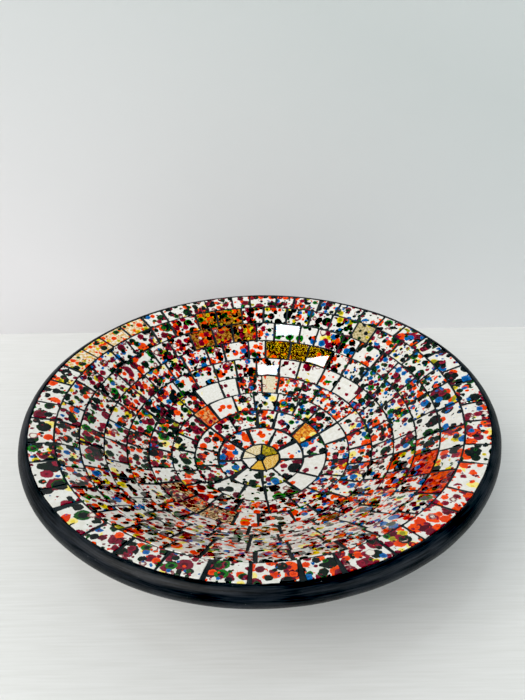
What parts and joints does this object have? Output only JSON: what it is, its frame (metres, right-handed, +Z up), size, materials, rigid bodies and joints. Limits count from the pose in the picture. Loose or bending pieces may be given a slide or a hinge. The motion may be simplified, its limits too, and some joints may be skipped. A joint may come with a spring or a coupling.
{
  "type": "mosaic glass bowl",
  "caption": "Shallow round bowl of painted clay with a rolled lip, lined with concentric courses of flat splatter-painted glass tiles set in dark grout.",
  "frame": {"origin": "centre of the flat foot, on the surface the bowl stands on", "axes": "+Z up along the bowl's axis; the bowl is round, so +X and +Y are free"},
  "size_m": [0.3, 0.3, 0.076],
  "materials": {
    "painted_clay": "satin",
    "grout": "matte",
    "splattered_glass": "gloss",
    "gold_glass": "gloss",
    "dark_glass": "gloss"
  },
  "bodies": {
    "root": {"clay_bowl": "painted_clay", "grout_bed": "grout", "centre_chip": "dark_glass", "rosette_wedge_1": "gold_glass", "rosette_wedge_2": "gold_glass", "rosette_wedge_3": "gold_glass", "rosette_wedge_4": "gold_glass", "rosette_wedge_5": "gold_glass", "rosette_wedge_6": "gold_glass", "course_9_tile_01": "splattered_glass", "course_9_tile_02": "splattered_glass", "course_9_tile_03": "splattered_glass", "course_9_tile_04": "splattered_glass", "course_9_tile_05": "splattered_glass", "course_9_tile_06": "splattered_glass", "course_9_tile_07": "splattered_glass", "course_9_tile_08": "splattered_glass", "course_9_tile_09": "splattered_glass", "course_8_tile_01": "splattered_glass", "course_8_tile_02": "splattered_glass", "course_8_tile_03": "splattered_glass", "course_8_tile_04": "splattered_glass", "course_8_tile_05": "splattered_glass", "course_8_tile_06": "splattered_glass", "course_8_tile_07": "splattered_glass", "course_8_tile_08": "splattered_glass", "course_8_tile_09": "splattered_glass", "course_8_tile_10": "splattered_glass", "course_8_tile_11": "splattered_glass", "course_8_tile_12": "splattered_glass", "course_8_tile_13": "splattered_glass", "course_8_tile_14": "splattered_glass", "course_7_tile_01": "splattered_glass", "course_7_tile_02": "splattered_glass", "course_7_tile_03": "splattered_glass", "course_7_tile_04": "splattered_glass", "course_7_tile_05": "splattered_glass", "course_7_tile_06": "splattered_glass", "course_7_tile_07": "splattered_glass", "course_7_tile_08": "splattered_glass", "course_7_tile_09": "splattered_glass", "course_7_tile_10": "splattered_glass", "course_7_tile_11": "splattered_glass", "course_7_tile_12": "splattered_glass", "course_7_tile_13": "splattered_glass", "course_7_tile_14": "splattered_glass", "course_7_tile_15": "splattered_glass", "course_7_tile_16": "splattered_glass", "course_7_tile_17": "splattered_glass", "course_7_tile_18": "splattered_glass", "course_7_tile_19": "splattered_glass", "course_7_tile_20": "splattered_glass", "course_6_tiles": "splattered_glass", "course_5_tiles": "splattered_glass", "course_4_tiles": "splattered_glass", "course_3_tiles": "splattered_glass", "course_2_tiles": "splattered_glass", "course_1_tiles": "splattered_glass"}
  },
  "joints": []
}
